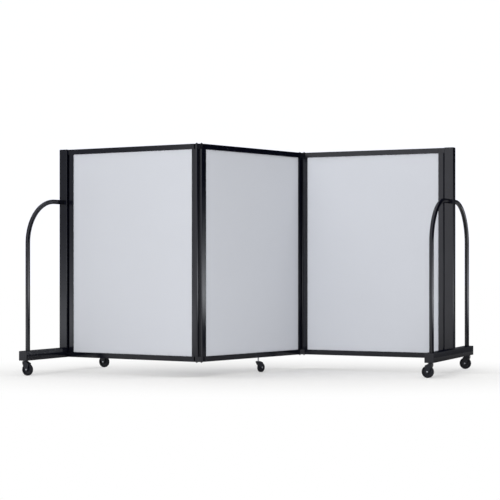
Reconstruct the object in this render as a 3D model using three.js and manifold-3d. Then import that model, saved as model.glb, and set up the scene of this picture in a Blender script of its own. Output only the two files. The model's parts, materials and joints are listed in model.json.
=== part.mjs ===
// Folding ward screen on casters: three rigid boards in slim frames, hinged
// edge to edge, with a T-shaped end frame at each end. Millimetres, +Z up.
// Every panel is drawn about its own middle: X runs along the panel, Y across
// its thickness and Z up from the floor. The groups at the end of the file
// hang the panels on their hinge pins, so that each pin is one placed group.

import * as THREE from 'three';
import { mergeVertices } from 'three/addons/utils/BufferGeometryUtils.js';
import Module from 'manifold-3d';

const wasm = await Module();
wasm.setup();

// Clearance between pieces that seat on each other, and how far a cutter
// runs past the faces that it opens
const fitGap = 0.3;
const cutOverrun = 2;

// Panels
const boardVisibleWidth = 767;
const boardVisibleHeight = 1083;
const boardThickness = 12.7;
const frameThickness = 22;
const railHeight = 28;
const railWall = 2.5;
const grooveDepth = 9;
const pinInset = 24;
const panelUnderside = 80;
const edgeRadius = 1;

// Folds: two noses with a slit between them, and the rods that they turn on
const noseGap = 3;
const rodRadius = 3;
const rodHeadRadius = 5;
const rodHeadHeight = 5;

// End frames
const postWidth = 50.8;
const postDepth = 42;
const postToNoseGap = 1.3;
const postCapRise = 1.1;
const barWidth = 50.8;
const barHeight = 50.8;
const barLength = 742;
const barUnderside = 79.2;
const tubeWall = 2;
const tubeCornerRadius = 3;
const capThickness = 3;
const capSpigotDepth = 10;
const archTubeRadius = 12.2;
const archTubeWall = 2;
const archBendRadius = 228.6;
const archInset = 43;
const archTop = 930;
const archSocketDepth = 20;

// Casters under the bars
const casterInset = 24;
const casterStemRadius = 5;
const casterStemRise = 20;
const wheelRadius = 32;
const treadWidth = 16;
const hubRadius = 9;
const rimRadius = 23.5;
const discThickness = 6;
const treadCorner = 3;
const trail = 14;
const forkWidth = 26;
const crownReach = 12;
const hoodTop = 75.5;
const shoulderReach = 7;
const lipReach = 27;
const lipHeight = 65;
const kneeHeight = 63;
const bossRadius = 9.5;

// Small caster under the middle panel
const midCasterShift = 47.5;
const midStemRadius = 4;
const midStemSocket = 9;
const midWheelRadius = 25;
const midTreadWidth = 14;
const midHubRadius = 7;
const midRimRadius = 18;
const midDiscThickness = 5;
const midTreadCorner = 2;
const midTrail = 22.5;
const midForkWidth = 20;
const midCrownReach = 10.5;
const midHoodTop = 61;
const midShoulderReach = 5;
const midLipReach = 27.5;
const midLipHeight = 53;
const midKneeHeight = 52;
const midBossRadius = 7.5;

// What both kinds of caster share
const wheelRoom = 1.5;
const sideRoom = 1;
const axleRadius = 3.5;
const axleHeadRadius = 4.8;
const axleHeadHeight = 2;

// Angles, in degrees: the middle panel's heading and the bend of each fold
const middleHeading = 48.99;
const leftFoldAngle = 78.73;
const rightFoldAngle = 73.71;

// Facets
const noseSteps = 12;
const cornerSteps = 2;
const domeSteps = 3;
const rodSides = 12;
const boreSides = 12;
const neckSides = 20;
const archSides = 16;
const archBoreSides = 12;
const archBendSteps = 10;
const wheelSides = 28;
const bossSteps = 8;

// Sizes that follow
const halfFrame = frameThickness / 2;
const panelHeight = boardVisibleHeight + 2 * railHeight;
const panelTop = panelUnderside + panelHeight;
const pinSpan = boardVisibleWidth + 2 * pinInset;
const pinSpacing = frameThickness + noseGap;
const grooveHalf = boardThickness / 2 + fitGap;
const boardInsert = grooveDepth - fitGap;
const blockHeight = railHeight - fitGap;
const rodBoreRadius = rodRadius + fitGap;
const postOffset = halfFrame + postToNoseGap + postWidth / 2;
const postTop = panelTop + postCapRise - capThickness - fitGap;
const barTop = barUnderside + barHeight;
const casterOffset = barLength / 2 - casterInset;
const archHalfSpan = barLength / 2 - archInset;
const archFlatHalf = archHalfSpan - archBendRadius;

// Looks
const satinBlack = { color: '#2b2c2f', roughness: 0.45, metalness: 0.3 };
const glossBlack = { color: '#1d1e20', roughness: 0.25, metalness: 0.3 };
const hingeBlack = { color: '#333437', roughness: 0.5, metalness: 0.1 };
const casterBlack = { color: '#2a2b2e', roughness: 0.4, metalness: 0 };
const wheelBlack = { color: '#1c1c1e', roughness: 0.7, metalness: 0 };
const paleBoard = { color: '#ccced8', roughness: 0.5, metalness: 0 };
const brightSteel = { color: '#b9bcc2', roughness: 0.25, metalness: 0.9 };

// Points of an arc, both ends included
function arc(x, y, radius, from, to, steps) {
  const points = [];
  for (let step = 0; step <= steps; step += 1) {
    const angle = from + ((to - from) * step) / steps;
    points.push(new THREE.Vector2(x + radius * Math.cos(angle), y + radius * Math.sin(angle)));
  }
  return points;
}

// A closed round outline whose flats lie at the radius
function ring(x, y, radius, sides) {
  const corner = radius / Math.cos(Math.PI / sides);
  return arc(x, y, corner, 0, Math.PI * 2, sides).slice(1);
}

// A rectangle with rounded corners about the origin
function roundedRectangle(width, height, radius) {
  const x = width / 2 - radius;
  const y = height / 2 - radius;
  const quarter = Math.PI / 2;
  return [
    ...arc(x, y, radius, 0, quarter, cornerSteps),
    ...arc(-x, y, radius, quarter, 2 * quarter, cornerSteps),
    ...arc(-x, -y, radius, 2 * quarter, 3 * quarter, cornerSteps),
    ...arc(x, -y, radius, 3 * quarter, 4 * quarter, cornerSteps),
  ];
}

// An outline with holes, extruded along Z from zero
function prism(outline, holes, length) {
  const shape = new THREE.Shape(outline);
  shape.holes = holes.map((hole) => new THREE.Path(hole));
  return new THREE.ExtrudeGeometry(shape, { depth: length, bevelEnabled: false });
}

// Turns a prism so that its outline lies in Y and Z and its length along X
function layAlongX(geometry) {
  const turned = new THREE.Matrix4().makeBasis(
    new THREE.Vector3(0, 1, 0),
    new THREE.Vector3(0, 0, 1),
    new THREE.Vector3(1, 0, 0),
  );
  return geometry.applyMatrix4(turned);
}

// Turns a prism so that its outline lies in X and Z, centred along Y
function layAlongY(geometry, length) {
  return geometry.rotateX(Math.PI / 2).translate(0, length / 2, 0);
}

// A box between two corners
function block(xFrom, xTo, yFrom, yTo, zFrom, zTo) {
  const box = new THREE.BoxGeometry(xTo - xFrom, yTo - yFrom, zTo - zFrom);
  return box.translate((xFrom + xTo) / 2, (yFrom + yTo) / 2, (zFrom + zTo) / 2);
}

// A round cutter along Z about the origin, whose flats lie at the radius
function drill(radius, length, sides) {
  return prism(ring(0, 0, radius, sides), [], length).translate(0, 0, -length / 2);
}

// A turned piece about Z
function turned(profile, sides) {
  return new THREE.LatheGeometry(profile, sides).rotateX(Math.PI / 2);
}

// Shared corners merged, empty triangles left out and faces pointing out
function tidy(geometry) {
  const bare = new THREE.BufferGeometry();
  bare.setAttribute('position', geometry.getAttribute('position'));
  bare.setIndex(geometry.getIndex());
  const merged = mergeVertices(bare);
  const places = merged.getAttribute('position');
  const index = merged.getIndex().array;
  const corners = [];
  const [a, b, c] = [new THREE.Vector3(), new THREE.Vector3(), new THREE.Vector3()];
  let volume = 0;
  for (let at = 0; at < index.length; at += 3) {
    const [first, second, third] = index.slice(at, at + 3);
    if (first === second || second === third || third === first) continue;
    corners.push(first, second, third);
    a.fromBufferAttribute(places, first);
    b.fromBufferAttribute(places, second);
    c.fromBufferAttribute(places, third);
    volume += a.dot(b.cross(c));
  }
  if (volume < 0) corners.reverse();
  merged.setIndex(corners);
  return merged;
}

function toSolid(geometry) {
  const merged = tidy(geometry);
  return new wasm.Manifold(new wasm.Mesh({
    numProp: 3,
    vertProperties: new Float32Array(merged.getAttribute('position').array),
    triVerts: new Uint32Array(merged.getIndex().array),
  }));
}

function fromSolid(solid) {
  const { vertProperties, triVerts, numProp } = solid.getMesh();
  const geometry = new THREE.BufferGeometry();
  geometry.setAttribute('position', new THREE.BufferAttribute(vertProperties, numProp));
  geometry.setIndex(new THREE.BufferAttribute(triVerts, 1));
  return geometry;
}

function cut(geometry, cutters) {
  return fromSolid(cutters.reduce((left, cutter) => left.subtract(toSolid(cutter)), toSolid(geometry)));
}

function join(geometry, others) {
  return fromSolid(others.reduce((whole, other) => whole.add(toSolid(other)), toSolid(geometry)));
}

// Adds a named piece to a group, at a place in that group
function addPiece(group, name, geometry, look, x = 0, y = 0, z = 0) {
  const faceted = tidy(geometry).toNonIndexed();
  faceted.computeVertexNormals();
  const mesh = new THREE.Mesh(faceted, new THREE.MeshStandardMaterial(look));
  mesh.name = name;
  mesh.position.set(x, y, z);
  group.add(mesh);
  return mesh;
}

// Adds a group turned about Z
function addGroup(parent, name, x, y, turnAngle) {
  const group = new THREE.Group();
  group.name = name;
  group.position.set(x, y, 0);
  group.rotation.z = THREE.MathUtils.degToRad(turnAngle);
  parent.add(group);
  return group;
}

// A stile about its pin axis, with its round nose towards -X. The nose stops
// a rail's height from each end, where a link block or a bracket turns or sits.
function stileGeometry() {
  const corner = pinInset - edgeRadius;
  const flank = halfFrame - edgeRadius;
  const outline = [
    ...arc(0, 0, halfFrame, Math.PI / 2, Math.PI * 1.5, noseSteps),
    ...arc(corner, -flank, edgeRadius, -Math.PI / 2, 0, cornerSteps),
    ...arc(corner, flank, edgeRadius, 0, Math.PI / 2, cornerSteps),
  ];
  const bar = prism(outline, [ring(0, 0, rodBoreRadius, boreSides)], panelHeight);
  bar.translate(0, 0, panelUnderside);
  const lowSeat = panelUnderside + railHeight;
  const highSeat = panelTop - railHeight;
  const outside = -halfFrame - cutOverrun;
  const inside = halfFrame + fitGap;
  const groove = block(
    pinInset - grooveDepth,
    pinInset + cutOverrun,
    -grooveHalf,
    grooveHalf,
    lowSeat - grooveDepth,
    highSeat + grooveDepth,
  );
  const lowNotch = block(outside, inside, outside, -outside, panelUnderside - cutOverrun, lowSeat);
  const highNotch = block(outside, inside, outside, -outside, highSeat, panelTop + cutOverrun);
  return cut(bar, [groove, lowNotch, highNotch]);
}

// A rail from its outer face up to its grooved face, with a hollow chamber
function railGeometry() {
  const length = boardVisibleWidth - 2 * fitGap;
  const flank = halfFrame - edgeRadius;
  const shoulder = railHeight - edgeRadius;
  const floor = railHeight - grooveDepth;
  const quarter = Math.PI / 2;
  const outline = [
    ...arc(-flank, edgeRadius, edgeRadius, 2 * quarter, 3 * quarter, cornerSteps),
    ...arc(flank, edgeRadius, edgeRadius, 3 * quarter, 4 * quarter, cornerSteps),
    ...arc(flank, shoulder, edgeRadius, 0, quarter, cornerSteps),
    new THREE.Vector2(grooveHalf, railHeight),
    new THREE.Vector2(grooveHalf, floor),
    new THREE.Vector2(-grooveHalf, floor),
    new THREE.Vector2(-grooveHalf, railHeight),
    ...arc(-flank, shoulder, edgeRadius, quarter, 2 * quarter, cornerSteps),
  ];
  const chamberHalf = halfFrame - railWall;
  const chamber = [
    new THREE.Vector2(-chamberHalf, railWall),
    new THREE.Vector2(chamberHalf, railWall),
    new THREE.Vector2(chamberHalf, floor - railWall),
    new THREE.Vector2(-chamberHalf, floor - railWall),
  ];
  return layAlongX(prism(outline, [chamber], length)).translate(-length / 2, 0, 0);
}

// The five pieces of one panel. The floor of the middle panel's bottom rail
// is drilled for the stem of its caster.
function addPanel(group, name, stileNames, stemPlaces) {
  const boardWidth = boardVisibleWidth + 2 * boardInsert;
  const boardHeight = boardVisibleHeight + 2 * boardInsert;
  const middle = panelUnderside + panelHeight / 2;
  const board = new THREE.BoxGeometry(boardWidth, boardThickness, boardHeight);
  addPiece(group, `${name}_board`, board, paleBoard, 0, 0, middle);
  const stile = stileGeometry();
  addPiece(group, `${name}_${stileNames[0]}_stile`, stile, satinBlack, -pinSpan / 2);
  const turnedStile = stile.clone().rotateZ(Math.PI);
  addPiece(group, `${name}_${stileNames[1]}_stile`, turnedStile, satinBlack, pinSpan / 2);
  const topRail = railGeometry().rotateX(Math.PI);
  addPiece(group, `${name}_top_rail`, topRail, satinBlack, 0, 0, panelTop);
  const holes = stemPlaces.map((place) => {
    const hole = drill(midStemRadius + fitGap, 2 * (railWall + cutOverrun), boreSides);
    return hole.translate(place, 0, 0);
  });
  const bottomRail = cut(railGeometry(), holes);
  addPiece(group, `${name}_bottom_rail`, bottomRail, satinBlack, 0, 0, panelUnderside);
}

// A rod along Z about the origin, with a dome past each end of its grip
function headedRod(grip, radius, headRadius, headHeight) {
  const dome = arc(0, 0, 1, 0, Math.PI / 2, domeSteps);
  const upper = [
    new THREE.Vector2(radius, grip / 2),
    ...dome.map((point) => new THREE.Vector2(headRadius * point.x, grip / 2 + headHeight * point.y)),
  ];
  upper[upper.length - 1].x = 0;
  const lower = upper.map((point) => new THREE.Vector2(point.x, -point.y)).reverse();
  return turned([...lower, ...upper], rodSides);
}

// A fold: two noses turn on the rods of one link, which is a block with round
// ends in the notches at the top and the bottom, and a strip in the slit
function addLink(group, name) {
  const reach = pinSpacing / 2;
  const outline = [
    ...arc(reach, 0, halfFrame, -Math.PI / 2, Math.PI / 2, noseSteps),
    ...arc(-reach, 0, halfFrame, Math.PI / 2, Math.PI * 1.5, noseSteps),
  ];
  const bores = [-reach, reach].map((x) => ring(x, 0, rodBoreRadius, boreSides));
  const linkBlock = prism(outline, bores, blockHeight);
  addPiece(group, `${name}_bottom_block`, linkBlock, hingeBlack, 0, 0, panelUnderside);
  addPiece(group, `${name}_top_block`, linkBlock.clone(), hingeBlack, 0, 0, panelTop - blockHeight);
  const middle = panelUnderside + panelHeight / 2;
  const strip = new THREE.BoxGeometry(noseGap - 2 * fitGap, frameThickness, boardVisibleHeight);
  addPiece(group, `${name}_strip`, strip, hingeBlack, 0, 0, middle);
  const rod = headedRod(panelHeight + 2 * fitGap, rodRadius, rodHeadRadius, rodHeadHeight);
  addPiece(group, `${name}_left_rod`, rod, satinBlack, -reach, 0, middle);
  addPiece(group, `${name}_right_rod`, rod.clone(), satinBlack, reach, 0, middle);
}

// A flush cap with a spigot that fits inside a rectangular tube, along +Z
function capGeometry(width, depth) {
  const spigotWidth = width - 2 * (tubeWall + fitGap);
  const spigotDepth = depth - 2 * (tubeWall + fitGap);
  const plate = prism(roundedRectangle(width, depth, tubeCornerRadius), [], capThickness);
  const spigotOutline = roundedRectangle(spigotWidth, spigotDepth, tubeCornerRadius - tubeWall);
  const spigot = prism(spigotOutline, [], capSpigotDepth + capThickness / 2);
  return join(plate, [spigot.translate(0, 0, -capSpigotDepth)]);
}

// A rectangular tube along Z
function boxTube(width, depth, length) {
  const innerRadius = tubeCornerRadius - tubeWall;
  const bore = roundedRectangle(width - 2 * tubeWall, depth - 2 * tubeWall, innerRadius);
  return prism(roundedRectangle(width, depth, tubeCornerRadius), [bore], length);
}

// Centre line of the arched tube in Y and Z: up, round, across, round and
// down. Each straight run is one step and each bend is a fixed number.
class ArchLine extends THREE.Curve {
  getPoint(share) {
    const shoulder = archTop - archBendRadius;
    const foot = barTop - archSocketDepth;
    const steps = share * (3 + 2 * archBendSteps);
    const fromMiddle = Math.abs(steps - 1.5 - archBendSteps);
    const side = Math.sign(steps - 1.5 - archBendSteps);
    const run = fromMiddle - 0.5;
    if (run <= 0) return new THREE.Vector3(0, side * archFlatHalf * 2 * fromMiddle, archTop);
    if (run <= archBendSteps) {
      const angle = (Math.PI / 2) * (run / archBendSteps);
      const y = archFlatHalf + archBendRadius * Math.sin(angle);
      return new THREE.Vector3(0, side * y, shoulder + archBendRadius * Math.cos(angle));
    }
    const drop = (shoulder - foot) * (run - archBendSteps);
    return new THREE.Vector3(0, side * archHalfSpan, shoulder - drop);
  }

  getUtoTmapping(share) {
    return share;
  }
}

function archGeometry() {
  const shape = new THREE.Shape(arc(0, 0, archTubeRadius, 0, Math.PI * 2, archSides).slice(1));
  const boreRadius = archTubeRadius - archTubeWall;
  shape.holes = [new THREE.Path(arc(0, 0, boreRadius, 0, Math.PI * 2, archBoreSides).slice(1))];
  return new THREE.ExtrudeGeometry(shape, {
    steps: 3 + 2 * archBendSteps,
    extrudePath: new ArchLine(),
    bevelEnabled: false,
  });
}

// A base bar along Y, drilled for the arch above and the caster stems below
function barGeometry() {
  const length = barLength - 2 * (capThickness + fitGap);
  const tube = layAlongY(boxTube(barWidth, barHeight, length), length);
  tube.translate(0, 0, barUnderside + barHeight / 2);
  const depth = 2 * (tubeWall + cutOverrun);
  const holes = [-1, 1].flatMap((side) => [
    drill(archTubeRadius + fitGap, depth, archSides).translate(0, side * archHalfSpan, barTop),
    drill(casterStemRadius + fitGap, depth, boreSides).translate(0, side * casterOffset, barUnderside),
  ]);
  return cut(tube, holes);
}

// A post that stands on the bar, with the arched tube passing through it
function postGeometry() {
  const foot = barTop + fitGap;
  const tube = boxTube(postWidth, postDepth, postTop - foot).translate(0, 0, foot);
  const hole = drill(archTubeRadius + fitGap, postDepth + 2 * cutOverrun, archSides);
  return cut(tube, [hole.rotateX(Math.PI / 2).translate(0, 0, archTop)]);
}

// The square bracket about the pin axis, from the notch of the end stile to
// the post or the bar, with a bore for the tie rod. The post lies towards +X.
function bracketGeometry(side) {
  const postFace = halfFrame + postToNoseGap - fitGap;
  const notchFace = halfFrame;
  const from = side > 0 ? -notchFace : -postFace;
  const to = side > 0 ? postFace : notchFace;
  const outline = [
    new THREE.Vector2(from, -halfFrame),
    new THREE.Vector2(to, -halfFrame),
    new THREE.Vector2(to, halfFrame),
    new THREE.Vector2(from, halfFrame),
  ];
  return prism(outline, [ring(0, 0, rodBoreRadius, boreSides)], blockHeight);
}

// A T-shaped end frame about its post, on the side of the panel that it ends
function addEndFrame(group, name, side) {
  addPiece(group, `${name}_base_bar`, barGeometry(), satinBlack);
  const barAxis = barUnderside + barHeight / 2;
  const capPlace = barLength / 2 - capThickness;
  const backCap = capGeometry(barWidth, barHeight).rotateX(-Math.PI / 2);
  const frontCap = capGeometry(barWidth, barHeight).rotateX(Math.PI / 2);
  addPiece(group, `${name}_bar_back_cap`, backCap, satinBlack, 0, capPlace, barAxis);
  addPiece(group, `${name}_bar_front_cap`, frontCap, satinBlack, 0, -capPlace, barAxis);
  addPiece(group, `${name}_post`, postGeometry(), satinBlack);
  const postCap = capGeometry(postWidth, postDepth);
  addPiece(group, `${name}_post_cap`, postCap, satinBlack, 0, 0, postTop + fitGap);
  addPiece(group, `${name}_arch_tube`, archGeometry(), glossBlack);
  const pinPlace = -side * postOffset;
  const bracket = bracketGeometry(side);
  addPiece(group, `${name}_bottom_bracket`, bracket, hingeBlack, pinPlace, 0, panelUnderside);
  const highSeat = panelTop - blockHeight;
  addPiece(group, `${name}_top_bracket`, bracket.clone(), hingeBlack, pinPlace, 0, highSeat);
  const tieLength = panelHeight - 2 * fitGap;
  const tie = prism(arc(0, 0, rodRadius, 0, Math.PI * 2, rodSides).slice(1), [], tieLength);
  addPiece(group, `${name}_tie_rod`, tie, satinBlack, pinPlace, 0, panelUnderside + fitGap);
}

const endCaster = {
  wheelRadius,
  treadWidth,
  hubRadius,
  rimRadius,
  discThickness,
  treadCorner,
  trail,
  forkWidth,
  crownReach,
  hoodTop,
  shoulderReach,
  lipReach,
  lipHeight,
  kneeHeight,
  bossRadius,
};

const midCaster = {
  wheelRadius: midWheelRadius,
  treadWidth: midTreadWidth,
  hubRadius: midHubRadius,
  rimRadius: midRimRadius,
  discThickness: midDiscThickness,
  treadCorner: midTreadCorner,
  trail: midTrail,
  forkWidth: midForkWidth,
  crownReach: midCrownReach,
  hoodTop: midHoodTop,
  shoulderReach: midShoulderReach,
  lipReach: midLipReach,
  lipHeight: midLipHeight,
  kneeHeight: midKneeHeight,
  bossRadius: midBossRadius,
};

// Angle at which a line from a point touches a circle, on the chosen side
function touchAngle(x, y, centreX, centreY, radius, side) {
  const distance = Math.hypot(x - centreX, y - centreY);
  return Math.atan2(y - centreY, x - centreX) + side * Math.acos(radius / distance);
}

// A hooded fork about its swivel axis, seen from the side: a crown round the
// stem, a hood over the wheel and two cheeks that narrow to the axle boss.
// The wheel's own clearance, a disc a little larger than it, is cut out.
function forkGeometry(caster, topPieces) {
  const [front, back] = [-caster.crownReach, caster.lipReach];
  const [bossX, bossZ] = [caster.trail, caster.wheelRadius];
  const radius = caster.bossRadius;
  const from = touchAngle(front, caster.kneeHeight, bossX, bossZ, radius, 1);
  const to = touchAngle(back, caster.lipHeight, bossX, bossZ, radius, -1);
  const outline = [
    new THREE.Vector2(front, caster.hoodTop),
    new THREE.Vector2(front, caster.kneeHeight),
    ...arc(bossX, bossZ, radius, from, to < from ? to + Math.PI * 2 : to, bossSteps),
    new THREE.Vector2(back, caster.lipHeight),
    new THREE.Vector2(caster.shoulderReach, caster.hoodTop),
  ];
  const body = layAlongY(prism(outline, [], caster.forkWidth), caster.forkWidth);
  const roomWidth = caster.treadWidth + 2 * sideRoom;
  const room = drill(caster.wheelRadius + wheelRoom, roomWidth, wheelSides);
  const bore = drill(axleRadius + fitGap, caster.forkWidth + 2 * cutOverrun, boreSides);
  const cutters = [room, bore].map((tool) => tool.rotateX(Math.PI / 2).translate(bossX, 0, bossZ));
  return cut(join(body, topPieces), cutters);
}

// A wheel about its axle along Y: hub, thin disc and tread ring. One flat of
// its many sides lies on the floor.
function wheelGeometry(caster) {
  const bore = axleRadius + fitGap;
  const hubHalf = caster.treadWidth / 2 + sideRoom / 2;
  const discHalf = caster.discThickness / 2;
  const treadHalf = caster.treadWidth / 2;
  const corner = caster.treadCorner;
  const outer = caster.wheelRadius - corner;
  const upper = [
    ...arc(outer, treadHalf - corner, corner, 0, Math.PI / 2, cornerSteps),
    new THREE.Vector2(caster.rimRadius, treadHalf),
    new THREE.Vector2(caster.rimRadius, discHalf),
    new THREE.Vector2(caster.hubRadius, discHalf),
    new THREE.Vector2(caster.hubRadius, hubHalf),
    new THREE.Vector2(bore, hubHalf),
  ];
  const lower = upper.map((point) => new THREE.Vector2(point.x, -point.y)).reverse();
  const profile = [...upper, ...lower, upper[0]];
  const flats = 1 / Math.cos(Math.PI / wheelSides);
  const scaled = profile.map((point) => new THREE.Vector2(point.x * flats, point.y));
  return new THREE.LatheGeometry(scaled, wheelSides, Math.PI / wheelSides);
}

function axleGeometry(caster) {
  const grip = caster.forkWidth + 2 * fitGap;
  return headedRod(grip, axleRadius, axleHeadRadius, axleHeadHeight).rotateX(Math.PI / 2);
}

// The fork, wheel and axle of one caster, about its swivel axis
function addCaster(group, name, caster, topPieces) {
  addPiece(group, `${name}_fork`, forkGeometry(caster, topPieces), casterBlack);
  const [x, z] = [caster.trail, caster.wheelRadius];
  addPiece(group, `${name}_wheel`, wheelGeometry(caster), wheelBlack, x, 0, z);
  addPiece(group, `${name}_axle`, axleGeometry(caster), brightSteel, x, 0, z);
}

// The neck under the bar and the stem that turns inside it
function endCasterTop() {
  const neckFoot = hoodTop - cutOverrun;
  const neckHeight = barUnderside - fitGap - neckFoot;
  const neck = prism(arc(0, 0, crownReach, 0, Math.PI * 2, neckSides).slice(1), [], neckHeight);
  const stemHeight = neckHeight + fitGap + casterStemRise;
  const stem = prism(arc(0, 0, casterStemRadius, 0, Math.PI * 2, rodSides).slice(1), [], stemHeight);
  return [neck.translate(0, 0, neckFoot), stem.translate(0, 0, neckFoot)];
}

// Both casters of a bar stand with their wheels trailing towards the panel
function addEndCasters(group, name, turnAngle) {
  const front = addGroup(group, `${name}_front_caster`, 0, -casterOffset, turnAngle);
  addCaster(front, `${name}_front`, endCaster, endCasterTop());
  const back = addGroup(group, `${name}_back_caster`, 0, casterOffset, turnAngle);
  addCaster(back, `${name}_back`, endCaster, endCasterTop());
}

// The small caster: a bare stem fixed in the rail, on which the fork turns
function addMiddleCaster(panel) {
  const stemFoot = midHoodTop - midStemSocket + fitGap;
  const stemTop = panelUnderside + railHeight - grooveDepth - railWall - fitGap;
  const circle = arc(0, 0, midStemRadius, 0, Math.PI * 2, rodSides).slice(1);
  const stem = prism(circle, [], stemTop - stemFoot).translate(0, 0, stemFoot);
  addPiece(panel, 'middle_caster_stem', stem, brightSteel, midCasterShift);
  const group = addGroup(panel, 'middle_caster', midCasterShift, 0, 0);
  addCaster(group, 'middle', midCaster, []);
  const fork = group.getObjectByName('middle_fork');
  const socket = drill(midStemRadius + fitGap, 2 * midStemSocket, boreSides);
  const bored = cut(fork.geometry, [socket.translate(0, 0, midHoodTop)]);
  fork.geometry = tidy(bored).toNonIndexed();
  fork.geometry.computeVertexNormals();
}

// The screen, folded as it stands: half of each bend at either pin of a fold
const screen = new THREE.Group();
const middlePanel = addGroup(screen, 'middle_panel', 0, 0, middleHeading);
addPanel(middlePanel, 'middle', ['left', 'right'], [midCasterShift]);
addMiddleCaster(middlePanel);

const leftInnerPin = addGroup(middlePanel, 'left_inner_pin', -pinSpan / 2, 0, -leftFoldAngle / 2);
addLink(addGroup(leftInnerPin, 'left_link', -pinSpacing / 2, 0, 0), 'left_fold');
const leftOuterPin = addGroup(leftInnerPin, 'left_outer_pin', -pinSpacing, 0, -leftFoldAngle / 2);
const leftPanel = addGroup(leftOuterPin, 'left_panel', -pinSpan / 2, 0, 0);
addPanel(leftPanel, 'left', ['outer', 'inner'], []);
const leftEnd = addGroup(leftPanel, 'left_end', -pinSpan / 2 - postOffset, 0, 0);
addEndFrame(leftEnd, 'left', -1);
addEndCasters(leftEnd, 'left', 0);

const rightInnerPin = addGroup(middlePanel, 'right_inner_pin', pinSpan / 2, 0, -rightFoldAngle / 2);
addLink(addGroup(rightInnerPin, 'right_link', pinSpacing / 2, 0, 0), 'right_fold');
const rightOuterPin = addGroup(rightInnerPin, 'right_outer_pin', pinSpacing, 0, -rightFoldAngle / 2);
const rightPanel = addGroup(rightOuterPin, 'right_panel', pinSpan / 2, 0, 0);
addPanel(rightPanel, 'right', ['inner', 'outer'], []);
const rightEnd = addGroup(rightPanel, 'right_end', pinSpan / 2 + postOffset, 0, 0);
addEndFrame(rightEnd, 'right', 1);
addEndCasters(rightEnd, 'right', 180);

// The origin is on the floor, under the middle of the screen's outline
screen.updateMatrixWorld(true);
const outlineMiddle = new THREE.Box3().setFromObject(screen, true).getCenter(new THREE.Vector3());
screen.position.set(-outlineMiddle.x, -outlineMiddle.y, 0);
screen.updateMatrixWorld(true);

export default screen;
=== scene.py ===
import json
import math

import bmesh
import bpy
import numpy as np
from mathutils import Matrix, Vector


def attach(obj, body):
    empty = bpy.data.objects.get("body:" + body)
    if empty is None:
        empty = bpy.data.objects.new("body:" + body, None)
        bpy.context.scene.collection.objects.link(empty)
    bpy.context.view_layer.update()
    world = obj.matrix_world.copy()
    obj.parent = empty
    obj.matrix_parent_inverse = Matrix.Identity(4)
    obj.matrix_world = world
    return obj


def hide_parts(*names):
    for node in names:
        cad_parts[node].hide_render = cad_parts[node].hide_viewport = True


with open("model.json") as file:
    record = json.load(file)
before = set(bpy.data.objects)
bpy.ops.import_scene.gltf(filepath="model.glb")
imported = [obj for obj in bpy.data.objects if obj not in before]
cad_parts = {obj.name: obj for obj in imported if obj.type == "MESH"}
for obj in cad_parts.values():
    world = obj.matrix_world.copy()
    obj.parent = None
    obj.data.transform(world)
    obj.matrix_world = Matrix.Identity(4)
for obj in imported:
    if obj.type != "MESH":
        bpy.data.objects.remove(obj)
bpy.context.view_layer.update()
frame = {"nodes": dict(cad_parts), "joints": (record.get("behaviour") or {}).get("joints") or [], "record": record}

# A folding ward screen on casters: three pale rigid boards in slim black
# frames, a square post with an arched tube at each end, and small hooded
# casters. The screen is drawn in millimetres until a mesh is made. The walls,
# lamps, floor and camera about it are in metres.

MM = 0.001
TAU = 2 * math.pi

# -------------------------------------------------------- sizes of the screen

PANEL_FOOT, PANEL_TOP = 80.0, 1219.0
PIN_SPAN, BOARD_WIDTH = 815.0, 767.0
RAIL_HEIGHT, HALF_FRAME, PIN_INSET = 28.0, 11.0, 24.0
GROOVE_DEPTH, GROOVE_HALF = 9.0, 6.65
EDGE_RADIUS, GAP = 1.0, 0.3
PIN_SPACING = 25.0
ROD_RADIUS, ROD_HEAD_RADIUS, ROD_HEAD_HEIGHT = 3.0, 5.0, 5.0
POST_WIDTH, POST_DEPTH, POST_TOP = 50.8, 42.0, 1216.8
BAR_SIZE, BAR_LENGTH, BAR_FOOT, BAR_TOP = 50.8, 742.0, 79.2, 130.0
TUBE_WALL, TUBE_CORNER = 2.0, 3.0
CAP_THICKNESS, SPIGOT_DEPTH, SPIGOT_CORNER, SPIGOT_BITE = 3.0, 10.0, 1.0, 0.5
ARCH_RADIUS, ARCH_BEND, ARCH_HALF_SPAN = 12.2, 228.6, 328.0
ARCH_TOP, ARCH_FOOT = 930.0, 110.0
AXLE_RADIUS, AXLE_HEAD_RADIUS, AXLE_HEAD_HEIGHT = 3.5, 4.8, 2.0
HUB_FILLET, HUB_EDGE, HUB_BITE = 2.0, 0.8, 0.3

# A wheel: its radius, half width and shoulders, the radius where the tyre
# meets the hub, the half thickness of the thin disc, the radius and the half
# length of the barrel, and half the width of the fork at the axle.
END_WHEEL = {
    "radius": 32.0, "half": 8.0, "corner": 3.0, "rim": 23.5,
    "disc": 3.0, "hub": 9.0, "barrel": 8.5, "grip": 13.0,
}
MIDDLE_WHEEL = {
    "radius": 25.0, "half": 7.0, "corner": 2.0, "rim": 18.0,
    "disc": 2.5, "hub": 7.0, "barrel": 7.5, "grip": 10.0,
}

# How far sharp edges are rounded.
BLOCK_ROUNDING, STRIP_ROUNDING, CAP_ROUNDING = 0.6, 0.4, 0.8
BAR_ROUNDING, BRACKET_ROUNDING, FORK_ROUNDING = 0.4, 0.5, 0.9

# How finely curves are divided. The steps are those of one arc, from its
# start to its end, and the sides those of a full circle. A nose also has
# points all along its flat flanks and its wall, and the dome of a rod stops at
# DOME_STOP degrees, short of the axis.
EDGE_STEPS, CORNER_STEPS, NOSE_STEPS, LINK_STEPS = 4, 8, 48, 40
BEND_STEPS, DOME_STEPS, SHOULDER_STEPS, DISH_STEPS = 40, 12, 10, 6
TUBE_SIDES, ROD_SIDES, WHEEL_SIDES, FLOOR_SIDES = 48, 64, 72, 64
FLANK_POINTS, WALL_POINTS = 8, 9
DOME_STOP = 85

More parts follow.
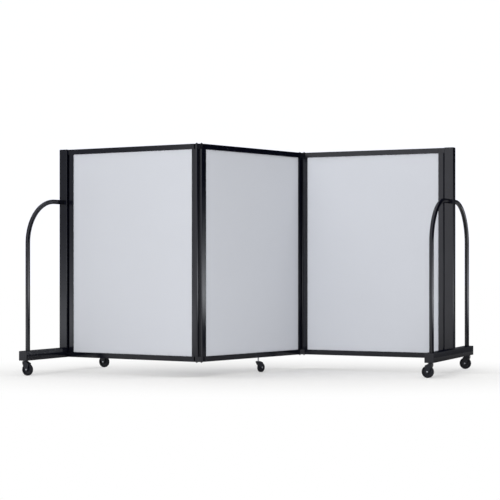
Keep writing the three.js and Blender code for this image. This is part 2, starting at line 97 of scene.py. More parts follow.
# Smooth shading bends only between a corner and its guard point. Sides longer
# than LONG_SIDE get one at each end.
GUARD, LONG_SIDE = 0.4, 1.6

# Points closer than a weld are made one and slivers are dropped, both in
# metres. Faces are flat below an angle, and edges are bevelled or sharp above.
CAD_WELD, WELD, SLIVER = 1e-6, 2e-6, 1e-6
FLAT_BELOW, BEVEL_ABOVE, SHARP_ABOVE = (math.radians(turn) for turn in (0.5, 35, 32))

# ------------------------------------------------------------- where they are

joint = {one["name"]: np.array(one["pos_m"], float) / MM for one in frame["joints"]}


class Place:
    """A point on the floor and a heading, about which a piece is drawn."""

    def __init__(self, origin, towards):
        self.origin = np.array(origin[:2], float)
        along = np.array(towards[:2], float) - self.origin
        self.along = along / np.hypot(*along)
        self.across = np.array([-self.along[1], self.along[0]])

    def shifted(self, distance):
        """The same heading, further along it."""
        origin = self.origin + distance * self.along
        return Place(origin, origin + self.along)

    def turned_round(self):
        """The same point with the opposite heading."""
        return Place(self.origin, self.origin - self.along)

    def set_down(self, points):
        """Points drawn about this place, as points of the whole screen."""
        flat = self.origin + points[..., :1] * self.along + points[..., 1:2] * self.across
        return np.concatenate([flat, points[..., 2:]], axis=-1)


def post_centre(side):
    """Halfway between the swivels under the two ends of a base bar."""
    return (joint[f"{side}_front_swivel_turn"] + joint[f"{side}_back_swivel_turn"]) / 2


inner_pins = {side: joint[f"{side}_fold_inner_pin"] for side in ("left", "right")}
outer_pins = {side: joint[f"{side}_fold_outer_pin"] for side in ("left", "right")}
POST = {
    "left": Place(post_centre("left"), outer_pins["left"]),
    "right": Place(post_centre("right"), outer_pins["right"]).turned_round(),
}


def outer_panel(side, direction):
    """The middle of an outer panel: half a span from its fold's outer pin,
    with the heading of its post."""
    pin = outer_pins[side][:2]
    return Place(pin, pin + POST[side].along).shifted(direction * PIN_SPAN / 2)


PANEL = {
    "middle": Place(inner_pins["left"], inner_pins["right"]).shifted(PIN_SPAN / 2),
    "left": outer_panel("left", -1),
    "right": outer_panel("right", 1),
}

# ------------------------------------------------------------ outlines, in mm


def arc(x, y, radius, start, stop, steps):
    """Points at a radius about (x, y), from one angle to another in degrees."""
    angle = np.radians(np.linspace(start, stop, steps + 1))
    return np.stack([x + radius * np.cos(angle), y + radius * np.sin(angle)], 1)


def once_round(sides):
    """Equal angles once round a circle, without the last that closes it."""
    return np.arange(sides) / sides * TAU


def guarded(outline):
    """The outline with a guard point just inside each end of its long
    straight sides."""
    following = np.roll(outline, -1, 0)
    side = following - outline
    length = np.linalg.norm(side, axis=1)
    share = np.minimum(GUARD / length, 1 / 3)[:, None]
    points = np.stack([outline, outline + side * share, following - side * share], 1)
    long = length > LONG_SIDE
    return points[np.stack([np.ones_like(long), long, long], 1)]


def rounded_rectangle(width, depth, radius):
    """Four quarter arcs about the corners of a smaller rectangle."""
    x, y = width / 2 - radius, depth / 2 - radius
    corners = ((x, y, 0), (-x, y, 90), (-x, -y, 180), (x, -y, 270))
    return np.concatenate([
        arc(centre_x, centre_y, radius, turn, turn + 90, CORNER_STEPS)
        for centre_x, centre_y, turn in corners
    ])


def groove(mouth, bottom):
    """Into the board's groove, across its bottom and out again. The first
    direction is the groove's depth and the second its width."""
    half = GROOVE_HALF
    return np.array([(mouth, -half), (bottom, -half), (bottom, half), (mouth, half)])


def stile_outline(groove_bottom):
    """The stile without its nose: a flat wall towards the pin, and on the far
    side two small rounded corners with the board's groove between them."""
    corner, flank = PIN_INSET - EDGE_RADIUS, HALF_FRAME - EDGE_RADIUS
    wall_x, guard = HALF_FRAME + GAP, corner - GUARD
    return np.concatenate([
        [(wall_x, HALF_FRAME), (wall_x, -HALF_FRAME), (guard, -HALF_FRAME)],
        arc(corner, -flank, EDGE_RADIUS, -90, 0, EDGE_STEPS),
        groove(PIN_INSET, groove_bottom),
        arc(corner, flank, EDGE_RADIUS, 0, 90, EDGE_STEPS),
        [(guard, HALF_FRAME)],
    ])


def nose_outline():
    """A half round about the pin axis with flat flanks up to the stile. The
    flanks and the wall have points all along, so that the bore is round when
    these points are drawn in to it."""
    wall_x = HALF_FRAME + GAP
    flank = np.linspace(wall_x, GUARD, FLANK_POINTS)
    side = np.stack([flank, np.full(FLANK_POINTS, HALF_FRAME)], 1)
    across = np.linspace(-HALF_FRAME, HALF_FRAME, WALL_POINTS)
    wall_side = np.stack([np.full(WALL_POINTS, wall_x), across], 1)
    return np.concatenate([
        side,
        arc(0, 0, HALF_FRAME, 90, 270, NOSE_STEPS),
        side[::-1] * (1, -1),
        wall_side[1:-1],
    ])


def rail_outline():
    """Across the thickness and up: two rounded lower corners, two rounded
    upper ones, and the board's groove in the upper side."""
    flank, shoulder = HALF_FRAME - EDGE_RADIUS, RAIL_HEIGHT - EDGE_RADIUS
    return guarded(np.concatenate([
        arc(-flank, EDGE_RADIUS, EDGE_RADIUS, 180, 270, EDGE_STEPS),
        arc(flank, EDGE_RADIUS, EDGE_RADIUS, 270, 360, EDGE_STEPS),
        arc(flank, shoulder, EDGE_RADIUS, 0, 90, EDGE_STEPS),
        groove(RAIL_HEIGHT, RAIL_HEIGHT - GROOVE_DEPTH)[:, ::-1] * (-1, 1),
        arc(-flank, shoulder, EDGE_RADIUS, 90, 180, EDGE_STEPS),
    ]))


def link_outline():
    """Two half rounds about the pins of a link, joined by straight sides."""
    reach = PIN_SPACING / 2
    return guarded(np.concatenate([
        arc(reach, 0, HALF_FRAME, -90, 90, LINK_STEPS),
        arc(-reach, 0, HALF_FRAME, 90, 270, LINK_STEPS),
    ]))


def tyre_outline(wheel):
    """A closed section: flat sides, a flat tread and rounded shoulders."""
    flank, crown = wheel["half"] - wheel["corner"], wheel["radius"] - wheel["corner"]
    half = np.concatenate([
        arc(crown, flank, wheel["corner"], 0, 90, SHOULDER_STEPS),
        [[wheel["rim"], wheel["half"]]],
    ])
    return np.concatenate([half, half[::-1] * (1, -1)])


def hub_outline(wheel):
    """A closed section: a barrel on the axle that dishes into a thin disc,
    whose rim bites into the tyre."""
    disc, hub, barrel = wheel["disc"], wheel["hub"], wheel["barrel"]
    half = np.concatenate([
        [[wheel["rim"] + HUB_BITE, disc]],
        arc(hub + HUB_FILLET, disc + HUB_FILLET, HUB_FILLET, 270, 180, DISH_STEPS),
        arc(hub - HUB_EDGE, barrel - HUB_EDGE, HUB_EDGE, 0, 90, EDGE_STEPS),
        [[AXLE_RADIUS + GAP, barrel]],
    ])
    return np.concatenate([half, half[::-1] * (1, -1)])


# ------------------------------------------------------------ surfaces, in mm


def lofted(rings, ring_shaped=False):
    """Closed outlines joined one after another by strips of quads. The first
    and last are filled in, or joined to each other when ring_shaped."""
    rings = np.asarray(rings, float)
    count, points = rings.shape[:2]
    strips = count if ring_shaped else count - 1
    ring, point = np.meshgrid(np.arange(strips), np.arange(points), indexing="ij")
    above, beside = (ring + 1) % count, (point + 1) % points
    corners = ((ring, point), (ring, beside), (above, beside), (above, point))
    quads = np.stack([row * points + column for row, column in corners], -1)
    faces = quads.reshape(-1, 4).tolist()
    if not ring_shaped:
        faces.append(list(range(points))[::-1])
        faces.append(list(range((count - 1) * points, count * points)))
    return rings.reshape(-1, 3), faces


def upright(outline, heights):
    """Outlines, or one outline, stood at each of the heights along Z."""
    outlines = np.broadcast_to(outline, (len(heights), *np.shape(outline)[-2:]))
    level = np.array(heights, float)[:, None, None]
    return np.concatenate([outlines, np.broadcast_to(level, (*outlines.shape[:2], 1))], -1)


def laid_along(rings, axis):
    """Upright rings laid down: their Z becomes X or Y and their second
    direction becomes Z."""
    across, up, length = np.moveaxis(rings, -1, 0)
    order = (length, across, up) if axis == "x" else (-across, length, up)
    return np.stack(order, -1)


def turned(profile, sides, ring_shaped=False):
    """A profile of radius and height carried round Z."""
    profile = np.array(profile, float)
    angle = once_round(sides)
    circle = np.stack([np.cos(angle), np.sin(angle)], -1)
    rings = np.concatenate([
        profile[:, None, :1] * circle,
        np.broadcast_to(profile[:, None, 1:], (len(profile), sides, 1)),
    ], -1)
    return lofted(rings, ring_shaped)


def arch_surface():
    """A circle carried up one leg, round two quarter bends with a straight
    run between them, and down the other leg. The path lies in Y and Z."""
    shoulder, flat = ARCH_TOP - ARCH_BEND, ARCH_HALF_SPAN - ARCH_BEND
    bend_y, bend_z = arc(flat, shoulder, ARCH_BEND, 0, 90, BEND_STEPS).T
    turn = np.radians(np.linspace(0, 90, BEND_STEPS + 1))
    y = np.concatenate([[ARCH_HALF_SPAN], bend_y, -bend_y[::-1], [-ARCH_HALF_SPAN]])
    z = np.concatenate([[ARCH_FOOT], bend_z, bend_z[::-1], [ARCH_FOOT]])
    lean = np.concatenate([[0], turn, math.pi - turn[::-1], [math.pi]])
    angle = once_round(TUBE_SIDES)
    side, out = ARCH_RADIUS * np.cos(angle), ARCH_RADIUS * np.sin(angle)
    rings = np.stack([
        np.broadcast_to(side, (len(y), TUBE_SIDES)),
        y[:, None] + out * np.cos(lean)[:, None],
        z[:, None] + out * np.sin(lean)[:, None],
    ], -1)
    return lofted(rings)


def stile_surfaces():
    """The grooved part of a stile over its whole height, whose groove stops
    at the rails, and the nose between the rails with a bore for its rod. The
    bore is the nose's outline with every point drawn in to the bore's radius."""
    closed, grooved = stile_outline(PIN_INSET), stile_outline(PIN_INSET - GROOVE_DEPTH)
    seat = RAIL_HEIGHT - GROOVE_DEPTH
    shapes = np.array([closed, closed, grooved, grooved, closed, closed])
    low, high = PANEL_FOOT + seat, PANEL_TOP - seat
    body = upright(shapes, [PANEL_FOOT, low, low, high, high, PANEL_TOP])
    outside = nose_outline()
    bore = outside / np.linalg.norm(outside, axis=1)[:, None] * (ROD_RADIUS + GAP)
    foot, top = PANEL_FOOT + RAIL_HEIGHT, PANEL_TOP - RAIL_HEIGHT
    nose = upright(np.array([outside, outside, bore, bore]), [foot, top, top, foot])
    return lofted(body), lofted(nose, ring_shaped=True)


def domed_rod(grip, radius, head_radius, head_height, low):
    """A rod with a quarter-ellipse dome past each end of its grip. The dome
    stops just short of the axis and is closed flat there."""
    dome = arc(0, 0, 1, 0, DOME_STOP, DOME_STEPS) * (head_radius, head_height)
    top = np.concatenate([[[radius, grip / 2]], dome + (0, grip / 2)])
    bottom = top[::-1] * (1, -1)
    return turned(np.concatenate([bottom, top]) + (0, low + grip / 2), ROD_SIDES)


def post_surface():
    """A square tube: its outside, its rim, its inside and its foot. The
    inside is the outside scaled in by the wall."""
    outside = guarded(rounded_rectangle(POST_WIDTH, POST_DEPTH, TUBE_CORNER))
    size = np.array([POST_WIDTH, POST_DEPTH])
    inside = outside * ((size - 2 * TUBE_WALL) / size)
    foot = BAR_TOP + GAP
    shapes = np.array([outside, outside, inside, inside])
    return lofted(upright(shapes, [foot, POST_TOP, POST_TOP, foot]), ring_shaped=True)


def cap_rings(width, depth):
    """A plate from zero up, over a spigot that goes down into the tube and
    bites into the plate."""
    inset = 2 * (TUBE_WALL + GAP)
    plate = guarded(rounded_rectangle(width, depth, TUBE_CORNER))
    spigot = rounded_rectangle(width - inset, depth - inset, SPIGOT_CORNER)
    return upright(plate, [0, CAP_THICKNESS]), upright(spigot, [-SPIGOT_DEPTH, SPIGOT_BITE])


def softened(node):
    """A CAD piece's own surface, with its corners merged and its flat faces
    made whole, ready for its edges to be rounded."""
    work = bmesh.new()
    work.from_mesh(frame["nodes"][node].data)
    bmesh.ops.remove_doubles(work, verts=work.verts, dist=CAD_WELD)
    bmesh.ops.dissolve_limit(work, angle_limit=FLAT_BELOW, verts=work.verts, edges=work.edges)
    mesh = bpy.data.meshes.new("softened")
    work.to_mesh(mesh)
    work.free()
    points = np.empty(len(mesh.vertices) * 3)
    mesh.vertices.foreach_get("co", points)
    corners = np.empty(len(mesh.loops), int)
    mesh.loops.foreach_get("vertex_index", corners)
    sides = np.empty(len(mesh.polygons), int)
    mesh.polygons.foreach_get("loop_total", sides)
    bpy.data.meshes.remove(mesh)
    faces = [face.tolist() for face in np.split(corners, np.cumsum(sides)[:-1])]
    return points.reshape(-1, 3) / MM, faces


# --------------------------------------------------------------- shader tools


class Field:
    """A value that varies over a surface. Arithmetic on it adds Math nodes."""

    def __init__(self, wiring, socket):
        self.wiring = wiring
        self.socket = socket

    def math(self, operation, *others):
        """This value and the others through one Math node."""
        values = dict(enumerate((self, *others)))
        return self.wiring.node("ShaderNodeMath", {"operation": operation}, values)

    def __add__(self, other):
        return self.math("ADD", other)

    __radd__ = __add__

    def __mul__(self, other):
        return self.math("MULTIPLY", other)

    __rmul__ = __mul__

    def __sub__(self, other):
        return self.math("SUBTRACT", other)

    def __rsub__(self, other):
        return self * -1.0 + other

    def __truediv__(self, other):
        return self.math("DIVIDE", other)

    def __rtruediv__(self, other):
        return (self**-1.0) * other

    def __pow__(self, other):
        return self.math("POWER", other)

    def ramp(self, low, high):
        """0 where the value is below low, 1 above high, and smooth between."""
        settings = {"interpolation_type": "SMOOTHSTEP"}
        sockets = {"Value": self, "From Min": low, "From Max": high}
        return self.wiring.node("ShaderNodeMapRange", settings, sockets)


class Wiring:
    """A node tree that is built up one node at a time."""

    def __init__(self, tree):
        self.tree = tree

    def node(self, kind, settings, inputs, output=0):
        """Adds a node, sets what is fixed on it, then feeds its sockets."""
        made = self.tree.nodes.new(kind)
        for key, value in settings.items():
            if key == "stops":
                self.set_stops(made.color_ramp.elements, value)
            else:
                setattr(made, key, value)
        for key, value in inputs.items():
            self.feed(made.inputs[key], value)
        return Field(self, made.outputs[output]) if made.outputs else made

    def set_stops(self, elements, stops):
        """Places the stops of a colour ramp, from left to right."""
        while len(elements) < len(stops):
            elements.new(1.0)
        for element, (position, colour) in zip(elements, stops):
            element.position = position
            element.color = colour

    def feed(self, socket, value):
        """Links a field to a socket, or sets the socket to a plain value."""
        if isinstance(value, Field):
            self.tree.links.new(value.socket, socket)
        else:
            socket.default_value = value

    def ray(self, kind):
        """1 where light is followed for this kind of ray, else 0."""
        return self.node("ShaderNodeLightPath", {}, {}, kind)

    def seen_or_mirrored(self):
        """1 for what the camera sees straight, mirrored or through glass."""
        seen = self.ray("Is Camera Ray")
        for kind in ("Is Glossy Ray", "Is Transmission Ray"):
            seen = seen.math("MAXIMUM", self.ray(kind))
        return seen

    def mixed(self, share, first, second):
        """Two shaders in one, the second by a share."""
        return self.node("ShaderNodeMixShader", {}, {0: share, 1: first, 2: second})


class Finish(Wiring):
    """One material, built about a Principled shader."""

    def __init__(self, name, **uniform):
        self.material = bpy.data.materials.new(name)
        self.material.use_nodes = True
        super().__init__(self.material.node_tree)
        self.shader = self.tree.nodes["Principled BSDF"]
        for socket, value in uniform.items():
            self.set(socket.replace("_", " "), value)

    def set(self, socket, value):
        """Feeds a socket of the Principled shader."""
        self.feed(self.shader.inputs[socket], value)

    def place(self, centre=(0, 0, 0), stretch=(1, 1, 1)):
        """Object coordinates about a centre, each multiplied by its stretch."""
        where = self.node("ShaderNodeTexCoord", {}, {}, "Object")
        apart = {"operation": "SUBTRACT"}
        centred = self.node("ShaderNodeVectorMath", apart, {0: where, 1: tuple(centre)})
        return self.node("ShaderNodeMapping", {}, {"Vector": centred, "Scale": tuple(stretch)})

    def coordinate(self, where, axis):
        """One coordinate out of three, by the name of its axis."""
        return self.node("ShaderNodeSeparateXYZ", {}, {0: where}, axis)

    def noise(self, where, scale, detail=2.0, roughness=0.5):
        """Cloudy noise between 0 and 1, with scale in features per metre."""
        sockets = {"Vector": where, "Scale": scale, "Detail": detail, "Roughness": roughness}
        return self.node("ShaderNodeTexNoise", {}, sockets)

    def blend(self, share, first, second):
        """Mixes two colours by a share."""
        return self.node("ShaderNodeMix", {"data_type": "RGBA"}, {0: share, 6: first, 7: second}, 2)

    def tint(self, share, dark, light):
        """Base colour between two colours given in display steps."""
        self.set("Base Color", self.blend(share, srgb(*dark), srgb(*light)))

    def roughen(self, share, lowest, spread):
        """Roughness from its lowest value up by a spread."""
        self.set("Roughness", share * spread + lowest)

    def bump(self, height, strength):
        """Raises the surface by up to a tenth of a millimetre."""
        sockets = {"Height": height, "Strength": strength, "Distance": 0.1 * MM}
        self.set("Normal", self.node("ShaderNodeBump", {}, sockets))


def srgb(red, green, blue):
    """A colour given in display steps of 0 to 255, as linear light."""
    def linear(step):
        share = step / 255
        return share / 12.92 if share <= 0.04045 else ((share + 0.055) / 1.055) ** 2.4
    return (linear(red), linear(green), linear(blue), 1.0)


# ------------------------------------------------------------------- finishes

# The share of light that a clear coat mirrors face on.
FACE_ON_MIRROR = 0.04


def lacquer(name, dark, light, coat_roughness, evenness):
    """Smooth black lacquer: a clear coat over a near-black that clouds
    between two tones. The share that the coat mirrors is taken as its
    face-on value plus the rest by the fifth power of Facing. The coat's
    weight falls as that share rises, so that with an evenness of 1 the two
    together stay level up to the edge of a form."""
    black = Finish(
        name, Specular_IOR_Level=0.0, Roughness=0.6, Coat_Roughness=coat_roughness, Coat_IOR=1.5
    )
    where = black.place()
    cloud = black.noise(where, scale=14.0, detail=3.0)
    grain = black.noise(where, scale=900.0, roughness=0.6)
    black.tint(cloud * 0.7 + grain * 0.3, dark, light)
    facing = black.node("ShaderNodeLayerWeight", {}, {"Blend": 0.5}, "Facing")
    mirrored = facing**5.0 * (1.0 - FACE_ON_MIRROR) + FACE_ON_MIRROR
    weight = cloud * 0.16 + 0.9
    black.set("Coat Weight", weight * (FACE_ON_MIRROR / mirrored) ** evenness)
    return black.material


def board_laminate(name):
    """Smooth laminate: pale lavender grey with a faint broad clouding and a
    very fine matt grain."""
    board = Finish(name, Specular_IOR_Level=0.25)
    where = board.place()
    cloud = board.noise(where, scale=2.2, detail=3.0)
    grain = board.noise(where, scale=1800.0, roughness=0.7)
    board.tint(cloud * 0.6 + grain * 0.4, (202, 205, 212), (207, 210, 217))
    board.roughen(grain, lowest=0.42, spread=0.12)
    board.bump(grain, strength=0.08)
    return board.material


def moulded_plastic(name, dark, light, lowest_roughness, specular):
    """Moulded plastic: two near tones and a fine leathery grain."""
    plastic = Finish(name, Specular_IOR_Level=specular)
    where = plastic.place()
    cloud = plastic.noise(where, scale=60.0, detail=3.0)
    grain = plastic.noise(where, scale=2200.0, detail=3.0, roughness=0.6)
    plastic.tint(cloud * 0.5 + grain * 0.5, dark, light)
    plastic.roughen(grain, lowest_roughness, spread=0.15)
    plastic.bump(grain, strength=0.15)
    return plastic.material


def bright_steel(name):
    """Plated steel: a light grey metal with faint drawn streaks."""
    steel = Finish(name, Metallic=1.0)
    streak = steel.noise(steel.place(stretch=(1, 1, 12)), scale=500.0)
    steel.tint(streak, (158, 160, 165), (196, 198, 202))
    steel.roughen(streak, lowest=0.2, spread=0.15)
    return steel.material


# By material slot. A lacquer has its dark and its light tone, its coat's
# roughness and its evenness. A plastic has its two tones, its lowest
# roughness and its specular level.
FINISHES = {
    "frame_black": lacquer("frame_satin_black", (7, 8, 18), (10, 12, 22), 0.13, 0.9),
    "tube_black": lacquer("tube_gloss_black", (6, 7, 16), (9, 10, 20), 0.08, 0.5),
    "rod_black": lacquer("rod_gloss_black", (7, 8, 17), (10, 11, 21), 0.15, 0.5),
    "hinge_black": lacquer("hinge_satin_black", (7, 8, 16), (10, 11, 20), 0.2, 1.0),
    "cap_black": lacquer("cap_satin_black", (8, 9, 19), (11, 13, 23), 0.18, 0.9),
    "caster_black": moulded_plastic("caster_black", (14, 16, 23), (20, 22, 31), 0.23, 0.35),
    "wheel_black": moulded_plastic("wheel_rubber_black", (16, 17, 22), (23, 24, 31), 0.48, 0.25),
    "board_grey": board_laminate("board_lavender_grey"),
    "bright_steel": bright_steel("bright_steel"),
}

record = frame["record"]
slot_of = {entry["node"]: entry["material_slot"] for entry in record["subparts"]}
body_of = {
    node: body for body, nodes in record["behaviour"]["bodies"].items() for node in nodes
}
for name, node in frame["nodes"].items():
    node.data.materials.clear()
    node.data.materials.append(FINISHES[slot_of[name]])

# -------------------------------------------------------------- making pieces


def cleaned(points, faces):
    """A mesh of one surface with its doubled points joined, facing outwards."""
    mesh = bpy.data.meshes.new("surface")
    mesh.from_pydata((points * MM).tolist(), [], faces)
    work = bmesh.new()
    work.from_mesh(mesh)
    bmesh.ops.remove_doubles(work, verts=work.verts, dist=WELD)
    bmesh.ops.dissolve_degenerate(work, edges=work.edges, dist=SLIVER)
    bmesh.ops.recalc_face_normals(work, faces=work.faces)
    work.to_mesh(mesh)
    work.free()
    return mesh


def make_piece(name, node, surfaces, slot=None, rounding=0.0, segments=2):
    """Puts surfaces into one mesh that stands in for a CAD node. A rounding
    in millimetres softens its sharp edges."""
    work = bmesh.new()
    for surface in surfaces:
        part = cleaned(*surface)
        work.from_mesh(part)
        bpy.data.meshes.remove(part)
    mesh = bpy.data.meshes.new(name)
    work.to_mesh(mesh)
    work.free()
    mesh.polygons.foreach_set("use_smooth", np.ones(len(mesh.polygons), bool))
    piece = bpy.data.objects.new(name, mesh)
    bpy.context.scene.collection.objects.link(piece)
    if rounding:
        bevel = piece.modifiers.new("rounded_edges", "BEVEL")
        bevel.width = rounding * MM
        bevel.segments = segments
        bevel.limit_method = "ANGLE"
        bevel.angle_limit = BEVEL_ABOVE
        bevel.harden_normals = True
    else:
        mesh.set_sharp_from_angle(angle=SHARP_ABOVE)
    mesh.materials.append(FINISHES[slot or slot_of[node]])
    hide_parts(node)
    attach(piece, body_of[node])


def make_skin(node, place, surfaces, rounding=0.0):
    """A piece named after the CAD node that it replaces, drawn at a place."""
    placed = [(place.set_down(points), faces) for points, faces in surfaces]
    make_piece(f"{node}_skin", node, placed, rounding=rounding)


def make_softened(node, rounding, segments=2):
    """The CAD node's own shape with rounded edges."""
    make_piece(f"{node}_skin", node, [softened(node)], rounding=rounding, segments=segments)


def make_panel(side, first_stile, last_stile):
    """The stiles and rails of one panel. The board stays the CAD piece."""
    place = PANEL[side]
    make_skin(first_stile, place.shifted(-PIN_SPAN / 2), stile_surfaces())
    make_skin(last_stile, place.shifted(PIN_SPAN / 2).turned_round(), stile_surfaces())
    half = BOARD_WIDTH / 2 - GAP
    rail = laid_along(upright(rail_outline(), [-half, half]), "x")
    for name, turn, level in (("bottom", 1, PANEL_FOOT), ("top", -1, PANEL_TOP)):
        make_skin(f"{side}_{name}_rail", place, [lofted(rail * (1, turn, turn) + (0, 0, level))])


def make_fold(side):
    """The two link blocks, the two headed rods and the strip of one fold."""
    first, second = outer_pins[side], inner_pins[side]
    if side == "right":
        first, second = second, first
    place = Place(first, second)
    middle = place.shifted(PIN_SPACING / 2)
    height = RAIL_HEIGHT - GAP
    for name, foot in (("bottom", PANEL_FOOT), ("top", PANEL_TOP - height)):
        block = lofted(upright(link_outline(), [foot, foot + height]))
        make_skin(f"{side}_fold_{name}_block", middle, [block], BLOCK_ROUNDING)
    grip = PANEL_TOP - PANEL_FOOT + 2 * GAP
    rod = domed_rod(grip, ROD_RADIUS, ROD_HEAD_RADIUS, ROD_HEAD_HEIGHT, PANEL_FOOT - GAP)
    make_skin(f"{side}_fold_left_rod", place, [rod])
    make_skin(f"{side}_fold_right_rod", place.shifted(PIN_SPACING), [rod])
    make_softened(f"{side}_fold_strip", STRIP_ROUNDING)


def make_end_frame(side):
    """Post, base bar, their caps, the arched tube and the two brackets."""
    place = POST[side]
    make_skin(f"{side}_post", place, [post_surface()])
    level = (0, 0, POST_TOP + GAP)
    cap = [lofted(rings + level) for rings in cap_rings(POST_WIDTH, POST_DEPTH)]
    make_skin(f"{side}_post_cap", place, cap, CAP_ROUNDING)
    make_softened(f"{side}_base_bar", BAR_ROUNDING)
    reach = (0, 0, BAR_LENGTH / 2 - CAP_THICKNESS)
    axis = (0, 0, BAR_FOOT + BAR_SIZE / 2)
    for name, sign in (("back", 1), ("front", -1)):
        cap = [
            lofted(laid_along(rings + reach, "y") * (1, sign, 1) + axis)
            for rings in cap_rings(BAR_SIZE, BAR_SIZE)
        ]
        make_skin(f"{side}_bar_{name}_cap", place, cap, CAP_ROUNDING)
    make_skin(f"{side}_arch_tube", place, [arch_surface()])
    make_softened(f"{side}_bottom_bracket", BRACKET_ROUNDING)
    make_softened(f"{side}_top_bracket", BRACKET_ROUNDING)


def make_caster(name, wheel):
    """Tyre, hub, axle and fork, about the swivel axis and the wheel's axle."""
    axle = joint[f"{name}_wheel_roll"]
    swivel = Place(joint[f"{name}_swivel_turn"], axle)
    place = Place(axle, axle[:2] + swivel.along)

    def on_axle(surface):
        """A turned surface laid with its axis along the place's Y."""
        points, faces = surface
        laid = np.stack([points[:, 0], points[:, 2], axle[2] + points[:, 1]], -1)
        return place.set_down(laid), faces

    tyre, hub = (
        on_axle(turned(outline(wheel), WHEEL_SIDES, ring_shaped=True))
        for outline in (tyre_outline, hub_outline)
    )
    make_piece(f"{name}_tyre", f"{name}_wheel", [tyre])
    make_piece(f"{name}_hub", f"{name}_wheel", [hub], "caster_black")
    grip = 2 * (wheel["grip"] + GAP)
    rod = domed_rod(grip, AXLE_RADIUS, AXLE_HEAD_RADIUS, AXLE_HEAD_HEIGHT, -grip / 2)
    make_piece(f"{name}_axle_skin", f"{name}_axle", [on_axle(rod)])
    make_softened(f"{name}_fork", FORK_ROUNDING, segments=3)


make_panel("middle", "middle_left_stile", "middle_right_stile")
make_panel("left", "left_outer_stile", "left_inner_stile")
make_panel("right", "right_inner_stile", "right_outer_stile")
for side in ("left", "right"):
    make_fold(side)
    make_end_frame(side)
    make_caster(f"{side}_front", END_WHEEL)
    make_caster(f"{side}_back", END_WHEEL)
make_caster("middle", MIDDLE_WHEEL)

# ---------------------------------------------------------- staging, in metres

# What glows on each wall, in a cool grey: height as a share of GLOW_HEIGHT,
# and brightness. A wall that opens to the front does so to OPEN_WHITE.
RIGHT_GLOW = (
    (0.0, 0.0), (0.12, 0.02), (0.2, 0.68), (0.27, 1.0), (0.36, 0.72),
    (0.5, 0.3), (0.66, 0.1), (0.8, 0.0), (1.0, 0.0),
)
BACK_GLOW = ((0.0, 0.3), (0.25, 0.6), (0.4, 0.6), (0.6, 0.4), (0.85, 0.1), (1.0, 0.03))
LEFT_GLOW = (
    (0.0, 0.6), (0.12, 1.0), (0.2, 0.9), (0.3, 0.62), (0.45, 0.42), (0.6, 0.28), (1.0, 0.25),
)
GLOW_HEIGHT, WALL_HEIGHT = 1.4, 4.0
COOL_GREY, OPEN_WHITE = (0.93, 0.95, 1.0), (1.25, 1.25, 1.3)

# The surround is SKY_WHITE where it is seen, and lights with SKY_LIGHT.
SKY_WHITE, SKY_LIGHT = (1.0, 1.01, 1.08, 1), 0.4
WHITE, BLACK = (1, 1, 1, 1), (0, 0, 0, 1)

# The floor turns white between two distances from its centre. Gloss mirrors it
# with painted shade under the screen, which fades out between two other distances.
FLOOR_RADIUS, FLOOR_COLOUR = 30.0, (0.77, 0.765, 0.757, 1)
FLOOR_CENTRE, FLOOR_STRETCH = (0, -0.15, 0), (0.6, 1, 1)
FADE_FROM, FADE_TO, LEAST_FADE = 0.15, 1.4, 0.08
PAINTED_SHADE_FROM, PAINTED_SHADE_TO, MOST_PAINTED_SHADE = 0.3, 2.8, 0.55

# The camera as it was fitted to the photograph. The first three are in its
# pixels, and the horizon lies that far below the middle of the picture.
PHOTO_WIDTH, FOCAL_LENGTH, HORIZON_DROP = 500, 1421.8, 12.85
SENSOR_WIDTH = 36.0
CAMERA_EYE = (-0.01726, -7.75766, 0.59707)


def stand(name, corners):
    """Stages a mesh of one face with these corners."""
    mesh = bpy.data.meshes.new(name)
    mesh.from_pydata(corners, [], [list(range(len(corners)))])
    made = bpy.data.objects.new(name, mesh)
    bpy.context.scene.collection.objects.link(made)
    return made


def wall(name, x, nearest, farthest, glow, strength, open_to=None):
    """An upright wall beside the screen that only gloss mirrors. Its glow
    changes with height, and may open to white towards the front."""
    made = stand(name, [
        (x, nearest, 0), (x, farthest, 0), (x, farthest, WALL_HEIGHT), (x, nearest, WALL_HEIGHT),
    ])
    made.visible_camera = made.visible_diffuse = made.visible_shadow = False
    paint = Finish(
        f"{name}_paint", Roughness=1.0, Specular_IOR_Level=0.0, Emission_Strength=strength
    )
    paint.set("Base Color", BLACK)
    where = paint.place()
    level = paint.coordinate(where, "Z") * (1 / GLOW_HEIGHT)
    stops = [(height, (*(grey * part for part in COOL_GREY), 1.0)) for height, grey in glow]
    tone = paint.node("ShaderNodeValToRGB", {"stops": stops}, {"Fac": level})
    if open_to:
        nearness = paint.coordinate(where, "Y") * -1.0
        white = (*(part / strength for part in OPEN_WHITE), 1.0)
        tone = paint.blend(nearness.ramp(*open_to), tone, white)
    paint.set("Emission Color", tone)
    made.data.materials.append(paint.material)


def surround():
    """White for what is seen and mirrored, and a plain level of light."""
    world = bpy.data.worlds.new("surround")
    bpy.context.scene.world = world
    world.use_nodes = True
    world.node_tree.nodes.clear()
    sky = Wiring(world.node_tree)
    light, white = (
        sky.node("ShaderNodeBackground", {}, {"Color": colour, "Strength": strength})
        for colour, strength in ((WHITE, SKY_LIGHT), (SKY_WHITE, 1.0))
    )
    both = sky.mixed(sky.seen_or_mirrored(), light, white)
    sky.node("ShaderNodeOutputWorld", {}, {"Surface": both})


def lamp(name, place, aim, width, height, power):
    """A rectangular soft lamp that looks at a point and isn't mirrored."""
    data = bpy.data.lights.new(name, "AREA")
    data.shape = "RECTANGLE"
    data.size = width
    data.size_y = height
    data.energy = power
    made = bpy.data.objects.new(name, data)
    made.location = place
    made.rotation_euler = (Vector(aim) - Vector(place)).to_track_quat("-Z", "Y").to_euler()
    made.visible_glossy = False
    bpy.context.scene.collection.objects.link(made)


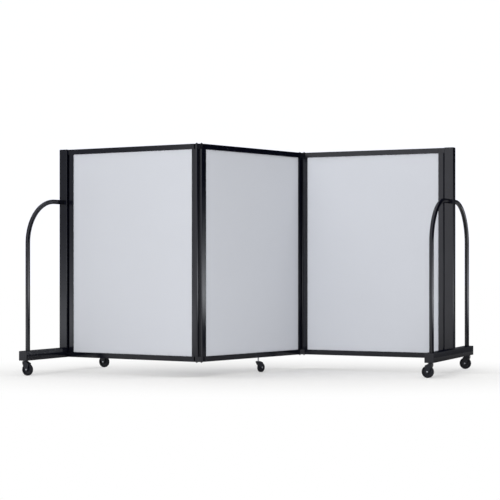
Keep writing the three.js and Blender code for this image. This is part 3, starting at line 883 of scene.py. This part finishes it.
def floor():
    """A wide pale disc that keeps the screen's shadow. Outside an ellipse
    about the screen it turns to the plain white of the surround, by a smooth
    step of the distance from its centre. Gloss mirrors it with painted shade:
    darker under the screen, and less so by another smooth step of that distance."""
    angle = once_round(FLOOR_SIDES)
    circle = np.stack([np.cos(angle), np.sin(angle), 0 * angle], 1)
    made = stand("floor", (FLOOR_RADIUS * circle).tolist())
    surface = Finish("floor_white", Roughness=0.9, Specular_IOR_Level=0.0)
    surface.set("Base Color", FLOOR_COLOUR)
    where = surface.place(FLOOR_CENTRE, FLOOR_STRETCH)
    length = {"operation": "LENGTH"}
    distance = surface.node("ShaderNodeVectorMath", length, {0: where}, "Value")
    plain, shade = (
        surface.node("ShaderNodeEmission", {}, {"Color": colour, "Strength": strength})
        for colour, strength in ((WHITE, 1.0), (BLACK, 0.0))
    )
    lit = Field(surface, surface.shader.outputs[0])
    fade = distance.ramp(FADE_FROM, FADE_TO) * (1 - LEAST_FADE) + LEAST_FADE
    seen = surface.mixed(fade * surface.seen_or_mirrored(), lit, plain)
    # Painted shade: gloss sees the floor mixed towards black near the screen, less so further out.
    under = (1.0 - distance.ramp(PAINTED_SHADE_FROM, PAINTED_SHADE_TO)) * surface.ray("Is Glossy Ray")
    seen = surface.mixed(under * MOST_PAINTED_SHADE, seen, shade)
    surface.feed(surface.tree.nodes["Material Output"].inputs["Surface"], seen)
    made.data.materials.append(surface.material)


def camera():
    """Level, at the height from which the photograph was taken."""
    data = bpy.data.cameras.new("camera")
    data.sensor_fit = "HORIZONTAL"
    data.sensor_width = SENSOR_WIDTH
    data.lens = FOCAL_LENGTH / PHOTO_WIDTH * SENSOR_WIDTH
    data.shift_y = HORIZON_DROP / PHOTO_WIDTH
    data.clip_end = 100.0
    made = bpy.data.objects.new("camera", data)
    made.location = CAMERA_EYE
    made.rotation_euler = (math.pi / 2, 0, 0)
    bpy.context.scene.collection.objects.link(made)
    bpy.context.scene.camera = made


surround()
lamp("overhead_lamp", (0.0, -0.05, 4.5), aim=(0, -0.05, 0), width=7.0, height=1.2, power=125)
lamp("front_lamp", (-1.2, -5.3, 2.5), aim=(0, 0, 0.6), width=4.0, height=2.0, power=158)
lamp("back_lamp", (1.0, 5.3, 2.5), aim=(0, 0, 0.6), width=4.0, height=2.0, power=70)
wall("right_wall", 2.0, nearest=-14.0, farthest=0.62, glow=RIGHT_GLOW, strength=4.2)
wall("back_wall", 2.0, nearest=0.62, farthest=4.5, glow=BACK_GLOW, strength=1.0)
wall(
    "left_wall", -3.0, nearest=-7.0, farthest=3.5, glow=LEFT_GLOW, strength=1.7, open_to=(1.2, 2.3)
)
floor()
camera()
bpy.context.scene.view_settings.view_transform = "Standard"
